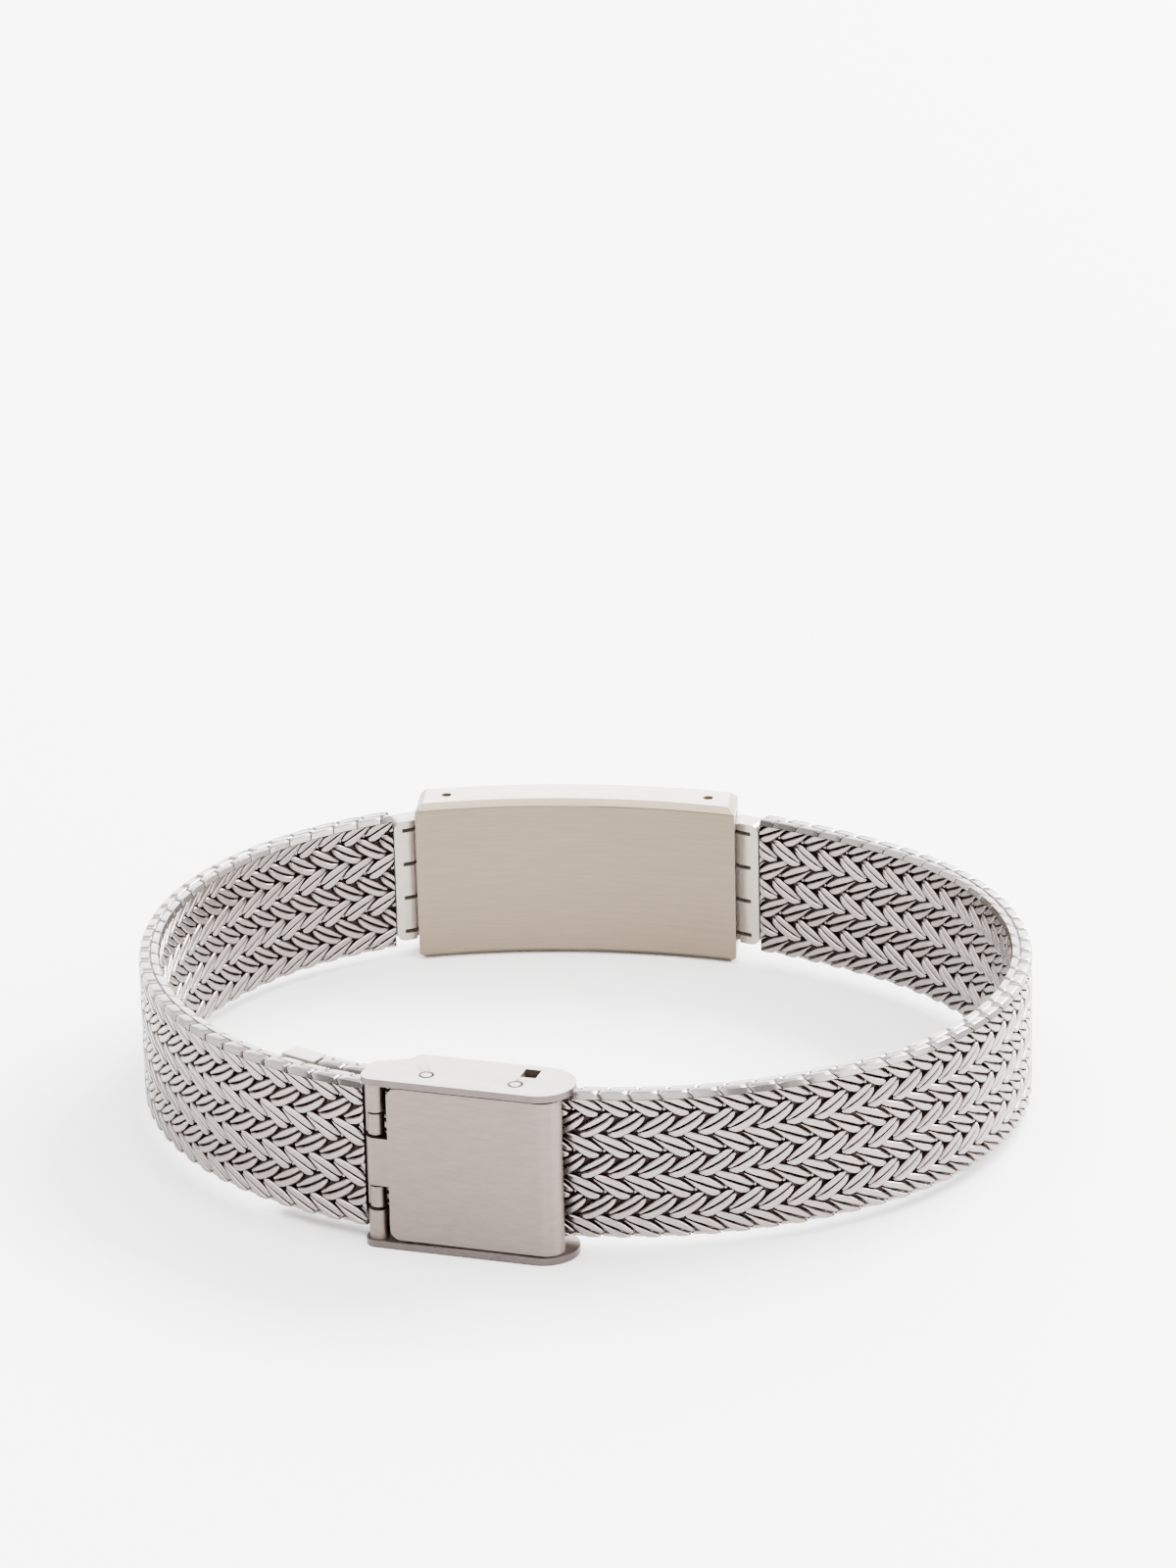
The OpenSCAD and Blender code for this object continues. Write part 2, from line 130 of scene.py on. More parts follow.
class Path:
    """A strap's centreline with its outward normal, by distance along it."""

    def __init__(self, arcs):
        """arcs: middle x and y, radius, first and last angle in degrees."""
        points, normals = [], []
        for cx, cy, r, a0, a1 in arcs:
            n = max(2, int(math.ceil(r * math.radians(abs(a1 - a0)) / ARC_STEP)))
            a = np.radians(np.linspace(a0, a1, n + 1))
            out = np.stack([np.cos(a), np.sin(a)], 1)
            points.append(np.array([cx, cy + SHIFT_Y]) + r * out)
            normals.append(out)
        self.p = np.concatenate(points)
        self.n = np.concatenate(normals)
        gaps = np.linalg.norm(np.diff(self.p, axis=0), axis=1)
        keep = np.concatenate([[True], gaps > SAME_POINT])
        self.p, self.n = self.p[keep], self.n[keep]
        gaps = np.linalg.norm(np.diff(self.p, axis=0), axis=1)
        self.s = np.concatenate([[0.0], np.cumsum(gaps)])
        self.length = self.s[-1]
        self.n_links = max(1, round(self.length / LINK_LEN))
        self.pitch = self.length / self.n_links

    def place(self, snz):
        """Points (distance along, distance outwards, height) in the CAD's metres."""
        s = np.clip(snz[..., 0], 0, self.length)
        x = np.interp(s, self.s, self.p[:, 0])
        y = np.interp(s, self.s, self.p[:, 1])
        nx = np.interp(s, self.s, self.n[:, 0])
        ny = np.interp(s, self.s, self.n[:, 1])
        w = snz[..., 1]
        return np.stack([x + nx * w, y + ny * w, snz[..., 2]], -1) * MM


left_path = Path([
    (BACK_LEFT_CX, 0, BACK_LEFT_R, LEFT_END_ANGLE, 180),
    (LEFT_CX, 0, CLASP_SIDE_R, 180, 270 - HOOK_ANGLE),
])
right_path = Path([
    (LEFT_CX, 0, FRONT_Y, CAP_START, 270),
    (FLAT_X, FRONT_R - FRONT_Y, FRONT_R, 270, 270 + FRONT_JOIN),
    (LOOP_HALF_W - FRONT_SIDE_R, 0, FRONT_SIDE_R, 270 + FRONT_JOIN, 360),
    (LOOP_HALF_W - BACK_SIDE_R, 0, BACK_SIDE_R, 0, 90 - BACK_JOIN),
    (LEFT_CX, BACK_Y - BACK_R, BACK_R, 90 - BACK_JOIN, right_end_angle()),
])


# Materials
def principled(name, colour, rough, metallic=1.0):
    """A material with a plain shader, and the shader."""
    m = bpy.data.materials.new(name)
    m.use_nodes = True
    shader = m.node_tree.nodes["Principled BSDF"]
    shader.inputs["Base Color"].default_value = (*colour, 1)
    shader.inputs["Roughness"].default_value = rough
    shader.inputs["Metallic"].default_value = metallic
    return m, shader


def noise_in(tree, stretch, scale, detail):
    """A noise in the object's own space, stretched along its axes."""
    coord = tree.nodes.new("ShaderNodeTexCoord")
    mapping = tree.nodes.new("ShaderNodeMapping")
    mapping.inputs["Scale"].default_value = stretch
    noise = tree.nodes.new("ShaderNodeTexNoise")
    noise.inputs["Scale"].default_value = scale
    noise.inputs["Detail"].default_value = detail
    tree.links.new(coord.outputs["Object"], mapping.inputs["Vector"])
    tree.links.new(mapping.outputs["Vector"], noise.inputs["Vector"])
    return noise.outputs["Fac"]


# What a noise mostly lies between, and its fineness where it changes the tone
NOISE_LOW, NOISE_HIGH = 0.3, 0.7
MOTTLE_DETAIL = 4


def mottled(name, colour, rough, scale, low, high, stretch=(1, 1, 1), metallic=1.0):
    """A material whose tone changes slowly, from low to high times its colour.

    scale is how fine the changes are, and stretch draws them out along the axes.
    """
    m, shader = principled(name, colour, rough, metallic)
    t = m.node_tree
    tone = t.nodes.new("ShaderNodeMapRange")
    tone.inputs["From Min"].default_value = NOISE_LOW
    tone.inputs["From Max"].default_value = NOISE_HIGH
    tone.inputs["To Min"].default_value = low
    tone.inputs["To Max"].default_value = high
    tinted = t.nodes.new("ShaderNodeVectorMath")
    tinted.operation = "SCALE"
    tinted.inputs[0].default_value = colour
    t.links.new(noise_in(t, stretch, scale, MOTTLE_DETAIL), tone.inputs["Value"])
    t.links.new(tone.outputs["Result"], tinted.inputs["Scale"])
    t.links.new(tinted.outputs["Vector"], shader.inputs["Base Color"])
    return m


# Brushing: how fine, how strong and how deep its lines are, and how it stretches gloss
# along a quarter turn
BRUSH_SCALE = 1400
BRUSH_DETAIL = 6
BRUSH_STRENGTH = 0.3
BRUSH_DEPTH = 0.02 * MM
BRUSH_GLOSS = 0.75
BRUSH_TURN = 0.25


def brushed(m, stretch, rough_low, rough_high):
    """Adds fine lines along one axis, in the roughness and a shallow bump."""
    t = m.node_tree
    shader = t.nodes["Principled BSDF"]
    lines = noise_in(t, stretch, BRUSH_SCALE, BRUSH_DETAIL)
    ramp = t.nodes.new("ShaderNodeMapRange")
    ramp.inputs["To Min"].default_value = rough_low
    ramp.inputs["To Max"].default_value = rough_high
    bump = t.nodes.new("ShaderNodeBump")
    bump.inputs["Strength"].default_value = BRUSH_STRENGTH
    bump.inputs["Distance"].default_value = BRUSH_DEPTH
    around = t.nodes.new("ShaderNodeTangent")
    around.direction_type = "RADIAL"
    around.axis = "Z"
    shader.inputs["Anisotropic"].default_value = BRUSH_GLOSS
    shader.inputs["Anisotropic Rotation"].default_value = BRUSH_TURN
    t.links.new(lines, ramp.inputs["Value"])
    t.links.new(ramp.outputs["Result"], shader.inputs["Roughness"])
    t.links.new(lines, bump.inputs["Height"])
    t.links.new(bump.outputs["Normal"], shader.inputs["Normal"])
    t.links.new(around.outputs["Tangent"], shader.inputs["Tangent"])
    return m


plate_metal = brushed(
    mottled("plate_metal", (0.21, 0.166, 0.12), 0.4, 1800, 0.94, 1.04, (0.15, 0.15, 4)),
    (1, 1, 14), 0.32, 0.46)
# The plate's level edge faces: polished, and painted lighter for the light from above
plate_top_polish_and_light = mottled("plate_top_polish_and_light", (0.40, 0.355, 0.30), 0.3, 1500, 0.96, 1.03)
fitting_metal = mottled("fitting_metal", (0.36, 0.315, 0.275), 0.30, 1500, 0.94, 1.03,
    metallic=0.6)
# Painted shade: the pins sit in holes, so their colour is near black
pin_metal = mottled("pin_metal", (0.05, 0.04, 0.034), 0.45, 1200, 0.85, 1.1, (1, 1, 3))
clasp_metal = brushed(
    mottled("clasp_metal", (0.195, 0.157, 0.14), 0.35, 900, 0.93, 1.05, (1, 1, 5)),
    (1, 4, 14), 0.36, 0.52)
# Painted light: the cheeks' outer faces, lighter than the brushed metal
clasp_top_painted_light = mottled("clasp_top_painted_light", (0.33, 0.295, 0.26), 0.32, 1100, 0.94,
    1.04)
# Painted shade: the cheeks' rims, darker than the brushed metal
clasp_rim_painted_shade = mottled("clasp_rim_painted_shade", (0.1, 0.083, 0.08), 0.35, 1100, 0.9, 1.05)
wire_face = mottled("wire_face", (0.24, 0.21, 0.199), 0.27, 700, 0.92, 1.05)
# Painted shade on the walls and ends of the wires, between them
wire_side_painted_shade = mottled("wire_side_painted_shade", (0.14, 0.105, 0.09), 0.35, 900, 0.9, 1.08)
edge_metal = mottled("edge_metal", (0.23, 0.21, 0.2), 0.22, 900, 0.94, 1.04)
# Painted shade: the near-black inside of the weave, seen through its holes
inner_painted_shade = mottled("inner_painted_shade", (0.05, 0.036, 0.03), 0.6, 900, 0.8, 1.15)
# Painted shade: a near-black colour for grooves, holes and the gaps between links
groove_painted_shade = mottled("groove_painted_shade", (0.04, 0.028, 0.022), 0.6, 900, 0.8, 1.15,
    metallic=0)
# The painted shade of grooves, holes and gaps between links hardly mirrors the light
painted_shade_shader = groove_painted_shade.node_tree.nodes["Principled BSDF"]
painted_shade_shader.inputs["Specular IOR Level"].default_value = 0.2


# Mesh building
def stand_for(o, node, body="bracelet"):
    """The piece rides on a body and stands for a CAD node, which is hidden."""
    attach(o, body)
    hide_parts(node)


class Builder:
    """Gathers copies of closed forms and makes one object of them."""

    def __init__(self):
        self.v, self.f, self.m, self.count = [], [], [], 0

    def add(self, points, faces, materials):
        """points (k, n, 3) are k copies of a form of n points; materials go by face."""
        k, n, _ = points.shape
        base = self.count + n * np.arange(k)[:, None, None]
        self.v.append(points.reshape(-1, 3))
        self.f.append((faces[None] + base).reshape(-1, faces.shape[1]))
        self.m.append(np.broadcast_to(materials, (k, len(faces))).reshape(-1))
        self.count += k * n

    def make(self, name, materials, node, smooth_angle=None):
        """The woven piece that stands for a strap. Folds over smooth_angle stay sharp."""
        mesh = bpy.data.meshes.new(name)
        verts, faces = np.concatenate(self.v), np.concatenate(self.f)
        mesh.from_pydata(verts.tolist(), [], faces.tolist())
        for m in materials:
            mesh.materials.append(m)
        mesh.polygons.foreach_set("material_index",
            np.concatenate(self.m).astype(np.int32))
        if smooth_angle is not None:
            mesh.polygons.foreach_set("use_smooth", np.ones(len(faces), bool))
            mesh.set_sharp_from_angle(angle=math.radians(smooth_angle))
        mesh.validate()
        mesh.update()
        o = bpy.data.objects.new(name, mesh)
        bpy.context.collection.objects.link(o)
        stand_for(o, node)


def tube_faces(rings, k):
    """Quads of a closed tube with k points a ring, then those of its two flat ends."""
    f = []
    for i in range(rings - 1):
        for j in range(k):
            m = (j + 1) % k
            f.append((i * k + j, i * k + m, (i + 1) * k + m, (i + 1) * k + j))
    last = (rings - 1) * k
    for j in range(k // 2 - 1):
        a, b, c, d = j, j + 1, k - 2 - j, k - 1 - j
        f.append((a, d, c, b))
        f.append((last + a, last + b, last + c, last + d))
    return np.array(f)


# The weave: rows of slanted pairs of flattened wires, leaning one way and the other
ROWS = 7
SLANT = 28.0
DOWN_RISE = 0.08
UP_RISE = -0.05
UP_ROW_SHIFT = 0.42
# A wire's section: bevel beside its face, round top of its wall, gap between two wires
FACE_BEVEL = 0.11
WALL_TOP = 0.15
GROOVE = 0.03
# Where the round between them bulges, as shares of the bevel and of the wall's top
SHOULDER_IN = 0.25
SHOULDER_DOWN = 0.5
# Half-widths: no wire is narrower than the first, and below the second bevels shrink
MIN_HALF = 0.02
FULL_BEVEL_HALF = 0.2
# How much of its outline a pair of wires fills, along it and across it
PAIR_ALONG = 0.975
PAIR_ACROSS = 0.965
# The wires end this far below the top edge and above the lower one
TOP_WIRES_DOWN = 0.46
FOOT_WIRES_UP = 0.015

# Outlines of the two wires of a pair: along the slant, middle across it, half-width, and
# how far the face sinks there. In rows that lean down, then in rows that lean up.
DOWN_UPPER = [
    (-1.64, 0.00, 0.26, 0.12), (-1.40, 0.02, 0.29, 0.03), (-0.92, 0.07, 0.32, 0.0),
    (-0.40, 0.14, 0.33, 0.0), (0.10, 0.17, 0.335, 0.0), (0.60, 0.17, 0.30, 0.0),
    (1.02, 0.155, 0.26, 0.0), (1.28, 0.165, 0.2, 0.02), (1.44, 0.18, 0.12, 0.09),
]
DOWN_LOWER = [
    (-1.60, -0.33, 0.04, 0.12), (-1.20, -0.37, 0.09, 0.03), (-0.90, -0.41, 0.15, 0.0),
    (-0.50, -0.485, 0.235, 0.0), (0.00, -0.515, 0.285, 0.0), (0.50, -0.545, 0.335, 0.0),
    (0.92, -0.51, 0.34, 0.0), (1.20, -0.44, 0.29, 0.02), (1.41, -0.36, 0.17, 0.09),
]
UP_UPPER = [
    (-1.50, 0.25, 0.11, 0.10), (-1.36, 0.245, 0.18, 0.02), (-0.95, 0.255, 0.20, 0.0),
    (-0.40, 0.285, 0.28, 0.0), (0.15, 0.31, 0.30, 0.0), (0.60, 0.33, 0.29, 0.0),
    (1.00, 0.365, 0.28, 0.0), (1.30, 0.36, 0.22, 0.04), (1.50, 0.31, 0.11, 0.16),
]
UP_LOWER = [
    (-1.58, -0.02, 0.12, 0.12), (-1.42, -0.12, 0.22, 0.03), (-1.20, -0.26, 0.31, 0.0),
    (-0.80, -0.38, 0.33, 0.0), (-0.20, -0.385, 0.325, 0.0), (0.40, -0.345, 0.315, 0.0),
    (0.90, -0.265, 0.30, 0.0), (1.26, -0.17, 0.26, 0.05), (1.50, -0.09, 0.14, 0.18),
]

RING_POINTS = 12
# Which sides of a wire are its polished faces, the outer one and the inner one. The
# other sides and the ends take a darker colour, painted shade between the wires
FACE_SIDES = (1, 2, 3, 7, 8, 9)


def wire_ring(along, middle, half, sink):
    """Twelve points around a wire at one place, the outer face first."""
    along, middle = along * PAIR_ALONG, middle * PAIR_ACROSS
    half = max(MIN_HALF, half * PAIR_ACROSS - GROOVE / 2)
    narrow = min(1.0, half / FULL_BEVEL_HALF)
    bevel, wall = FACE_BEVEL * narrow, WALL_TOP * narrow
    top = HALF_T - sink
    shoulder = half - SHOULDER_IN * bevel, top - SHOULDER_DOWN * wall
    side = [(-half, top - wall), (-shoulder[0], shoulder[1]), (-half + bevel, top),
            (half - bevel, top), shoulder, (half, top - wall)]
    ring = side + [(w, -n) for w, n in reversed(side)]
    return [(along, n, middle + w) for w, n in ring]


def wire_form(outline, lean):
    """A wire's points around the middle of its pair: along, outwards, up."""
    rings = np.array([wire_ring(*row) for row in outline])
    a = math.radians(SLANT) * lean
    u, v = rings[..., 0], rings[..., 2]
    out = np.stack([u * math.cos(a) - v * math.sin(a), rings[..., 1],
                    u * math.sin(a) + v * math.cos(a)], -1)
    return out.reshape(-1, 3)


def row_z(row):
    """Height of the middle of a row, counted from the top."""
    return BAND_Z + BAND_W * (ROWS - row - 0.5) / ROWS


def weave(name, path, node, s_from=-math.inf, s_to=math.inf):
    """The wires of a strap whose pairs have their middles from s_from to s_to."""
    groups = {}
    for row in range(ROWS):
        lean = -1 if row % 2 == 0 else 1
        outlines = (DOWN_UPPER, DOWN_LOWER) if lean < 0 else (UP_UPPER, UP_LOWER)
        z = row_z(row) + (DOWN_RISE if lean < 0 else UP_RISE)
        shift = 0 if lean < 0 else UP_ROW_SHIFT
        for i in range(-1, path.n_links + 1):
            s = (i + 0.5 + shift) * path.pitch
            if s_from <= s < s_to:
                for j, outline in enumerate(outlines):
                    groups.setdefault((lean, j), []).append((s, z, outline))
    b = Builder()
    for (lean, _), places in groups.items():
        outline = places[0][2]
        form = wire_form(outline, lean)
        form[:, 0] *= path.pitch / LINK_LEN
        at = np.array([(s, 0.0, z) for s, z, _ in places])
        points = form[None] + at[:, None]
        points[..., 2] = np.clip(points[..., 2], BAND_Z + FOOT_WIRES_UP,
            BAND_Z + BAND_W - TOP_WIRES_DOWN)
        faces = tube_faces(len(outline), RING_POINTS)
        number = np.arange(len(faces))
        # Faces off the polished ones take the painted shade between the wires
        polished = (np.isin(number % RING_POINTS, FACE_SIDES)
            & (number < (len(outline) - 1) * RING_POINTS))
        b.add(path.place(points), faces, np.where(polished, 0, 1))
    b.make(name, [wire_face, wire_side_painted_shade], node, 35)


# A bright bend of wire deep in the hole beside each pair that leans down
BEAD_R = 0.15
BEAD_ALONG = 1.5
BEAD_DOWN = 0.52
BEAD_SINK = 0.2


def beads(name, path, node):
    """Small rounded bends in the holes of the weave, on both faces."""
    ball = bmesh.new()
    bmesh.ops.create_icosphere(ball, subdivisions=2, radius=BEAD_R)
    form = np.array([v.co[:] for v in ball.verts])
    faces = np.array([[v.index for v in f.verts] for f in ball.faces])
    ball.free()
    at = [((i + 0.5) * path.pitch + BEAD_ALONG, side * (HALF_T - BEAD_SINK),
           row_z(row) + DOWN_RISE - BEAD_DOWN)
          for row in range(0, ROWS - 1, 2) for i in range(path.n_links - 1)
          for side in (1, -1)]
    b = Builder()
    b.add(path.place(form[None] + np.array(at)[:, None]), faces, 0)
    b.make(name, [wire_face], node, 60)


# Strips of painted shade that close the weave inside and show dark through its holes.
# The core runs down its middle and stops short of the edges. The others lie under both
# edges, as painted shade below the edge links: corners (outwards, depth below the edge).
STRIP_STEP = 0.6
CORE_HALF_T = 0.3
CORE_INSET = 0.5
UNDER_EDGE = [(0.75, 0.42), (0.56, 0.1), (-0.56, 0.1), (-0.75, 0.42)]


def strip(name, path, section, node, material):
    """A closed bar along a strap from (outwards, height) corners."""
    n = max(2, int(path.length / STRIP_STEP))
    s = np.linspace(0.0, path.length, n + 1)
    points = np.array([[(a, w, z) for w, z in section] for a in s])
    b = Builder()
    b.add(path.place(points.reshape(1, -1, 3)), tube_faces(n + 1, len(section)), 0)
    b.make(name, [material], node)


def core(name, path, node):
    """The three strips of painted shade inside a strap."""
    z0, z1 = BAND_Z + CORE_INSET, BAND_Z + BAND_W - CORE_INSET
    strip(name, path, [(CORE_HALF_T, z0), (CORE_HALF_T, z1), (-CORE_HALF_T, z1),
        (-CORE_HALF_T, z0)], node, inner_painted_shade)
    for end, z, up in (("_top", BAND_Z + BAND_W, 1), ("_foot", BAND_Z, -1)):
        under = [(w, z - up * depth) for w, depth in UNDER_EDGE]
        strip(name + end, path, under[::up], node, groove_painted_shade)


# The smooth edge: two rows of links, each with its section's corners from the outer side
# over the top, as (outwards, depth below the edge, shift of a link's end along, half gap)
EDGE_ROWS = [
    [(0.55, 0.75, 0.42, 0.07), (0.78, 0.50, 0.40, 0.07), (0.84, 0.42, 0.32, 0.07),
     (0.67, 0.03, 0.04, 0.09), (0.60, 0.0, 0.0, 0.1), (0.02, 0.0, 0.06, 0.07),
     (-0.04, 0.06, 0.06, 0.05), (-0.04, 0.6, 0.2, 0.05)],
    [(-0.10, 0.6, 0.8, 0.05), (-0.10, 0.08, 0.72, 0.05), (-0.17, 0.02, 0.72, 0.06),
     (-0.60, 0.0, 0.92, 0.08), (-0.68, 0.03, 0.96, 0.06), (-0.84, 0.42, 1.05, 0.05),
     (-0.78, 0.50, 1.08, 0.05), (-0.55, 0.75, 1.1, 0.05)],
]
# Stations along a link, with how far its rounded ends drop and which way the gap insets
EDGE_STATIONS = [(0.0, 0.1, 1), (0.06, 0.02, 1), (0.3, 0.0, 0), (0.7, 0.0, 0),
    (0.94, 0.02, -1), (1.0, 0.1, -1)]
# Corners deeper than this don't drop, and lie closer together on the lower edge
DEEP_CORNER = 0.3
FOOT_NARROWER = 0.75
# A link is made if at least this much of it lies on the strap
LEAST_SHOWN = 0.3


def edge_link(section, start, pitch, up):
    """One link's points, on the upper edge (up is 1) or the lower one (up is -1)."""
    z_edge = BAND_Z + BAND_W if up > 0 else BAND_Z
    rings = []
    for t, drop, inset in EDGE_STATIONS:
        ring = []
        for w, depth, shift, gap in section:
            deep = depth > DEEP_CORNER
            if deep and up < 0:
                w *= FOOT_NARROWER
            ring.append((start + t * pitch + shift + inset * gap, w,
                z_edge - up * (depth + (0 if deep else drop))))
        rings.append(ring[::up])
    return np.array(rings).reshape(-1, 3)


def edges(name, path, node):
    """The links along both edges of a strap, with painted shade on their ends, in the
    gaps between them.
    """
    b = Builder()
    for section in EDGE_ROWS:
        forms = [edge_link(section, i * path.pitch, path.pitch, up)
                 for up in (1, -1) for i in range(-1, path.n_links)]
        forms = [f for f in forms if f[:, 0].max() > LEAST_SHOWN
                 and f[:, 0].min() < path.length - LEAST_SHOWN]
        faces = tube_faces(len(EDGE_STATIONS), len(section))
        sides = (len(EDGE_STATIONS) - 1) * len(section)
        b.add(path.place(np.array(forms)), faces,
            np.where(np.arange(len(faces)) < sides, 0, 1))
    b.make(name, [edge_metal, groove_painted_shade], node, 30)


half_way = right_path.length / 2
weave("weave_left", left_path, "strap_left")
weave("weave_right_front", right_path, "strap_right", s_to=half_way)
weave("weave_right_back", right_path, "strap_right", s_from=half_way)
core("core_left", left_path, "strap_left")
core("core_right", right_path, "strap_right")
edges("edge_links_left", left_path, "strap_left")
edges("edge_links_right", right_path, "strap_right")
beads("weave_bends_left", left_path, "strap_left")
beads("weave_bends_right", right_path, "strap_right")


# Hard pieces with their sharp edges taken off
MERGE_DIST = 1e-7
NO_LENGTH = 1e-20
FLAT_ANGLE = math.radians(0.2)
SHARP_ANGLE = math.radians(35)
NORMALS_ANGLE = math.radians(50)
BEVEL_SEGMENTS = 2
BEVEL_PROFILE = 0.6
# A rivet's ring groove gets a wide bevel of painted shade: its fold angle and width
GROOVE_RIM_ANGLE = 1.0
GROOVE_RIM_BEVEL = 0.12


def settle_normals(mesh):
    """Large faces keep their own direction, the narrow bevels turn between them."""
    count = len(mesh.polygons)
    normal, area_of = np.empty(count * 3), np.empty(count)
    mesh.polygons.foreach_get("normal", normal)
    mesh.polygons.foreach_get("area", area_of)
    normal = normal.reshape(-1, 3)
    around = [[] for _ in mesh.vertices]
    for face in mesh.polygons:
        for v in face.vertices:
            around[v].append(face.index)
    out = []
    for face in mesh.polygons:
        own = normal[face.index]
        for v in face.vertices:
            near = [q for q in around[v] if normal[q] @ own > math.cos(NORMALS_ANGLE)]
            n = (normal[near] * area_of[near][:, None]).sum(0)
            length = np.linalg.norm(n)
            out.append((n / length if length > NO_LENGTH else own).tolist())
    mesh.normals_split_custom_set(out)


def folds(form, angle, where):
    """Edges that fold by more than an angle, and whose middle in mm passes a test."""
    return [e for e in form.edges if len(e.link_faces) == 2
        and e.calc_face_angle(0) > angle
        and where((e.verts[0].co + e.verts[1].co) / 2 / MM)]


def bevelled(node, materials, width, body="bracelet", soften=lambda p: True,
        choose=lambda f: 0, groove_rim=None):
    """Stands for a CAD node: the same form with its sharp edges taken off.

    width is the bevel's in millimetres. soften says by its middle which edge is
    bevelled, choose gives a face's material, and groove_rim says which edges get the
    wider bevel of a ring groove, in painted shade.
    """
    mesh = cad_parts[node].data.copy()
    mesh.materials.clear()
    for m in materials:
        mesh.materials.append(m)
    form = bmesh.new()
    form.from_mesh(mesh)
    bmesh.ops.remove_doubles(form, verts=form.verts, dist=MERGE_DIST)
    bmesh.ops.dissolve_limit(form, angle_limit=FLAT_ANGLE, verts=form.verts,
        edges=form.edges)
    for f in form.faces:
        f.material_index = choose(f)
    bmesh.ops.bevel(form, geom=folds(form, SHARP_ANGLE, soften), offset=width * MM,
        segments=BEVEL_SEGMENTS, profile=BEVEL_PROFILE, affect="EDGES",
        clamp_overlap=True)
    if groove_rim:
        bmesh.ops.bevel(form, geom=folds(form, GROOVE_RIM_ANGLE, groove_rim),
            offset=GROOVE_RIM_BEVEL * MM, segments=1, affect="EDGES",
            clamp_overlap=False, material=1)
    bmesh.ops.triangulate(form, faces=[f for f in form.faces if len(f.verts) > 4])
    form.to_mesh(mesh)
    form.free()
    mesh.polygons.foreach_set("use_smooth", np.ones(len(mesh.polygons), bool))
    settle_normals(mesh)
    o = bpy.data.objects.new(node + "_finished", mesh)
    bpy.context.collection.objects.link(o)
    stand_for(o, node, body)


# Places on the clasp, around the rivets at the cross bars' ends and beside the hinge
HINGE_X = LEFT_CX - HINGE_FROM_RUN
BAR_Y = SHIFT_Y + CHEEK_FRONT + BAR_BEHIND_CHEEK_FRONT
FIRST_RIVET_X = HINGE_X + BAR_FIRST
SECOND_RIVET_X = FIRST_RIVET_X + BAR_PITCH
GROOVE_OUTER_REACH = 0.56
GROOVE_INNER_REACH = 0.45
GROOVE_DEPTH_REACH = 0.2
RIVET_REACH = 0.7
ON_FACE = 1e-4
NEAR_FACE = 0.01
NEAR_RIM = 0.02
# A face is level where its normal's Z is more than this
LEVEL_FACE = 0.9
# The square hole in the cheeks, from the second rivet
SLOT_X = (-0.2, 1.25)
SLOT_Y = (1.4, 3.5)
# The knuckles, from the hinge's axis and from the cross bars
KNUCKLE_X = 1.2
KNUCKLE_Y = 1.2
COVER_KNUCKLE_X = 1.3


def near_rivet(p, reach):
    """Whether a point lies within reach of a rivet's axis."""
    return any(math.hypot(p.x - x, p.y - BAR_Y) < reach
        for x in (FIRST_RIVET_X, SECOND_RIVET_X))


def in_slot(p):
    """Whether a point lies in the square hole of a cheek."""
    return (SLOT_X[0] < p.x - SECOND_RIVET_X < SLOT_X[1]
        and SLOT_Y[0] < p.y - BAR_Y < SLOT_Y[1])


def from_outside(p):
    """How far a point lies below the nearer cheek's outer face."""
    return min(p.z, CLASP_H - p.z)


def frame_groove_rim(p):
    """The outer rim of the groove around a rivet, bevelled in painted shade."""
    return (abs(from_outside(p)) < NEAR_RIM and near_rivet(p, GROOVE_OUTER_REACH)
        and not near_rivet(p, GROOVE_INNER_REACH))


def frame_soften(p):
    """The frame's edges, apart from those of grooves, holes and inner knuckles."""
    at_knuckle = abs(p.y - BAR_Y) < KNUCKLE_Y and p.x < HINGE_X + KNUCKLE_X
    return not (near_rivet(p, RIVET_REACH) or in_slot(p)
        or (from_outside(p) >= NEAR_FACE and at_knuckle))


def frame_choose(f):
    """0 brushed, 1 painted shade in grooves and holes, 2 the cheeks' outer faces, painted
    lighter as lit from above, 3 their rims, painted darker as shaded.
    """
    p = f.calc_center_median() / MM
    down = from_outside(p)
    if down < ON_FACE:
        return 2
    if near_rivet(p, GROOVE_OUTER_REACH) and down < GROOVE_DEPTH_REACH:
        return 1
    if in_slot(p) and down <= CHEEK_T + NEAR_FACE:
        return 1
    return 3 if down < CHEEK_T - NEAR_FACE else 0


def plate_choose(f):
    """1 for the polished level faces along both edges of the plate, painted lighter for
    the light they catch from above.
    """
    return 1 if abs(f.normal.z) > LEVEL_FACE else 0


bevelled("id_plate", [plate_metal, plate_top_polish_and_light], 0.08,
    choose=plate_choose)
bevelled("end_piece_left", [fitting_metal], 0.05)
bevelled("end_piece_right", [fitting_metal], 0.05)
bevelled("tail_cap", [fitting_metal], 0.12)
bevelled("clasp_frame",
    [clasp_metal, groove_painted_shade, clasp_top_painted_light, clasp_rim_painted_shade], 0.09,
    soften=frame_soften, choose=frame_choose, groove_rim=frame_groove_rim)
bevelled("clasp_cover", [clasp_metal], 0.07, body="cover",
    soften=lambda p: p.x >= HINGE_X + COVER_KNUCKLE_X)
bevelled("strap_hook", [clasp_metal], 0.04)

# CAD pieces that show as they are, coloured near black to paint the shade of the holes
# they sit in
for node in ("plate_pin_left", "plate_pin_right", "hinge_pin"):
    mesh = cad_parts[node].data
    mesh.materials.clear()
    mesh.materials.append(pin_metal)

# Floor, in metres
FLOOR_SIZE = 6
FLOOR_Z = -0.00002
FLOOR_COLOUR = (0.86, 0.86, 0.86)
bpy.ops.mesh.primitive_plane_add(size=FLOOR_SIZE, location=(0, 0, FLOOR_Z))
floor = bpy.context.object
floor.name = "floor"
floor.data.materials.append(principled("floor_white", FLOOR_COLOUR, 0.6, 0)[0])

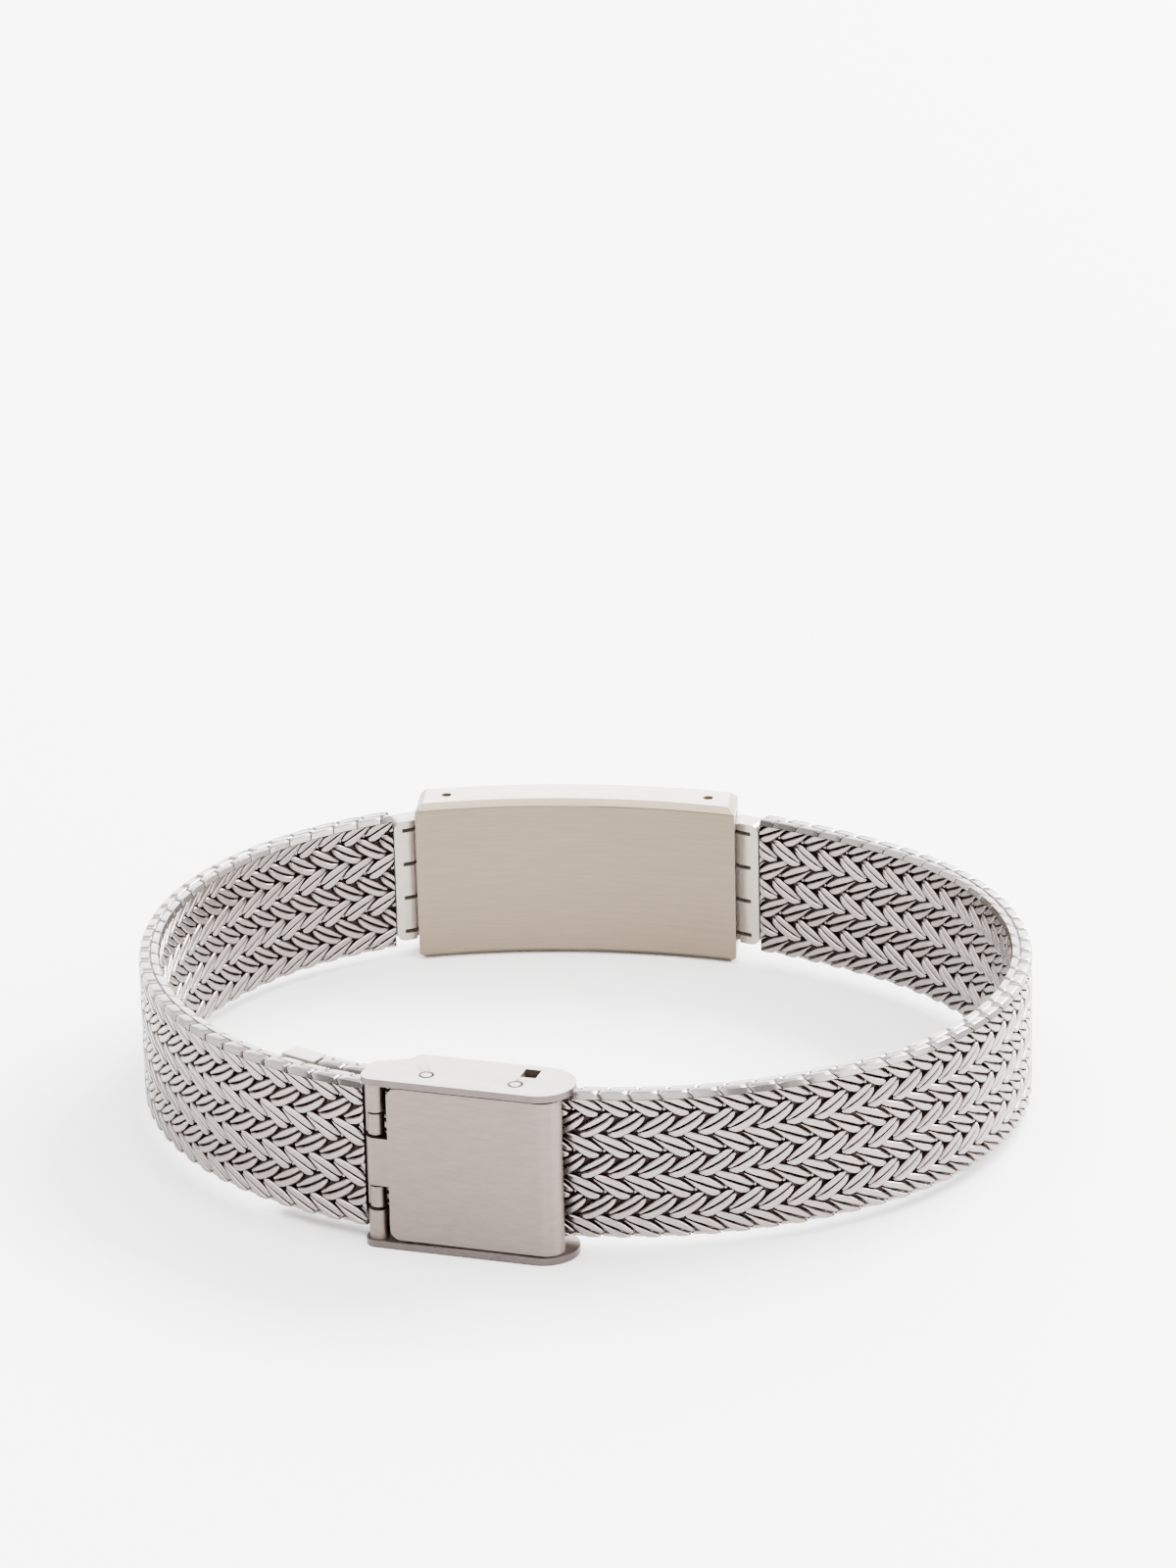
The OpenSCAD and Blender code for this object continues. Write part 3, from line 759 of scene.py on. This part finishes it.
# Light: a pale sky that is brighter towards the back, and soft panels
SKY_LOW, SKY_HIGH = 0.7, 3.2
SKY_LOW_FROM, SKY_HIGH_FROM = -0.25, 0.75
SKY_COLOUR = (1, 0.995, 0.985, 1)
SKY_BRIGHT_SIDE = (0.3, 0.75, 0.59)
world = bpy.data.worlds.new("studio")
bpy.context.scene.world = world
world.use_nodes = True
sky = world.node_tree
background = sky.nodes["Background"]
background.inputs["Color"].default_value = SKY_COLOUR
direction = sky.nodes.new("ShaderNodeTexCoord")
towards = sky.nodes.new("ShaderNodeVectorMath")
towards.operation = "DOT_PRODUCT"
towards.inputs[1].default_value = SKY_BRIGHT_SIDE
glow = sky.nodes.new("ShaderNodeMapRange")
glow.interpolation_type = "SMOOTHSTEP"
glow.inputs["From Min"].default_value = SKY_LOW_FROM
glow.inputs["From Max"].default_value = SKY_HIGH_FROM
glow.inputs["To Min"].default_value = SKY_LOW
glow.inputs["To Max"].default_value = SKY_HIGH
sky.links.new(direction.outputs["Generated"], towards.inputs[0])
sky.links.new(towards.outputs["Value"], glow.inputs["Value"])
sky.links.new(glow.outputs["Result"], background.inputs["Strength"])


def area(name, place, target, size, power):
    """A soft rectangular light at a place, turned to a target, in metres and watts."""
    light = bpy.data.lights.new(name, "AREA")
    light.shape = "RECTANGLE"
    light.size, light.size_y = size
    light.energy = power
    o = bpy.data.objects.new(name, light)
    o.location = place
    aim = Vector(target) - Vector(place)
    o.rotation_euler = aim.to_track_quat("-Z", "Y").to_euler()
    bpy.context.collection.objects.link(o)


area("top_soft", (-0.08, -0.15, 0.68), (0, 0, 0), (0.7, 0.7), 15)
area("right_soft", (0.65, -0.1, 0.4), (0, 0, 0.005), (0.5, 0.5), 7)
area("back_soft", (0.4, 0.75, 0.62), (0, 0, 0), (0.9, 0.5), 80)
area("front_glint", (0.25, -0.9, 0.5), (0, 0, 0), (0.7, 0.3), 4)
area("left_glint", (-0.88, -0.2, 0.2), (0, 0, 0.005), (1.0, 0.3), 4)
area("far_soft", (-0.4, 1.15, 0.45), (0, 0, 0), (0.9, 0.5), 15)

# Camera: stands in front and to the right, and looks down
CAMERA_AT = Vector((138.07, -425.42, 198.0)) * MM
LOOK = Vector((-0.3073, 0.9516, 0)).normalized()
LOOK_DOWN = math.radians(-21.041)
ROLL = math.radians(-1.372)
FOCAL_PX = 6280.4
IMAGE_H = 1600
SENSOR = 36.0
forward = LOOK * math.cos(LOOK_DOWN) + Vector((0, 0, math.sin(LOOK_DOWN)))
level_right = LOOK.cross(Vector((0, 0, 1))).normalized()
level_up = level_right.cross(forward)
right = level_right * math.cos(ROLL) + level_up * math.sin(ROLL)
up = level_up * math.cos(ROLL) - level_right * math.sin(ROLL)
camera = bpy.data.objects.new("camera", bpy.data.cameras.new("camera"))
camera.data.lens = FOCAL_PX * SENSOR / IMAGE_H
camera.data.sensor_width = SENSOR
camera.data.clip_start = 0.01
camera.data.clip_end = 20
turn = Matrix((right, up, -forward)).transposed().to_4x4()
camera.matrix_world = Matrix.Translation(CAMERA_AT) @ turn
bpy.context.collection.objects.link(camera)
bpy.context.scene.camera = camera
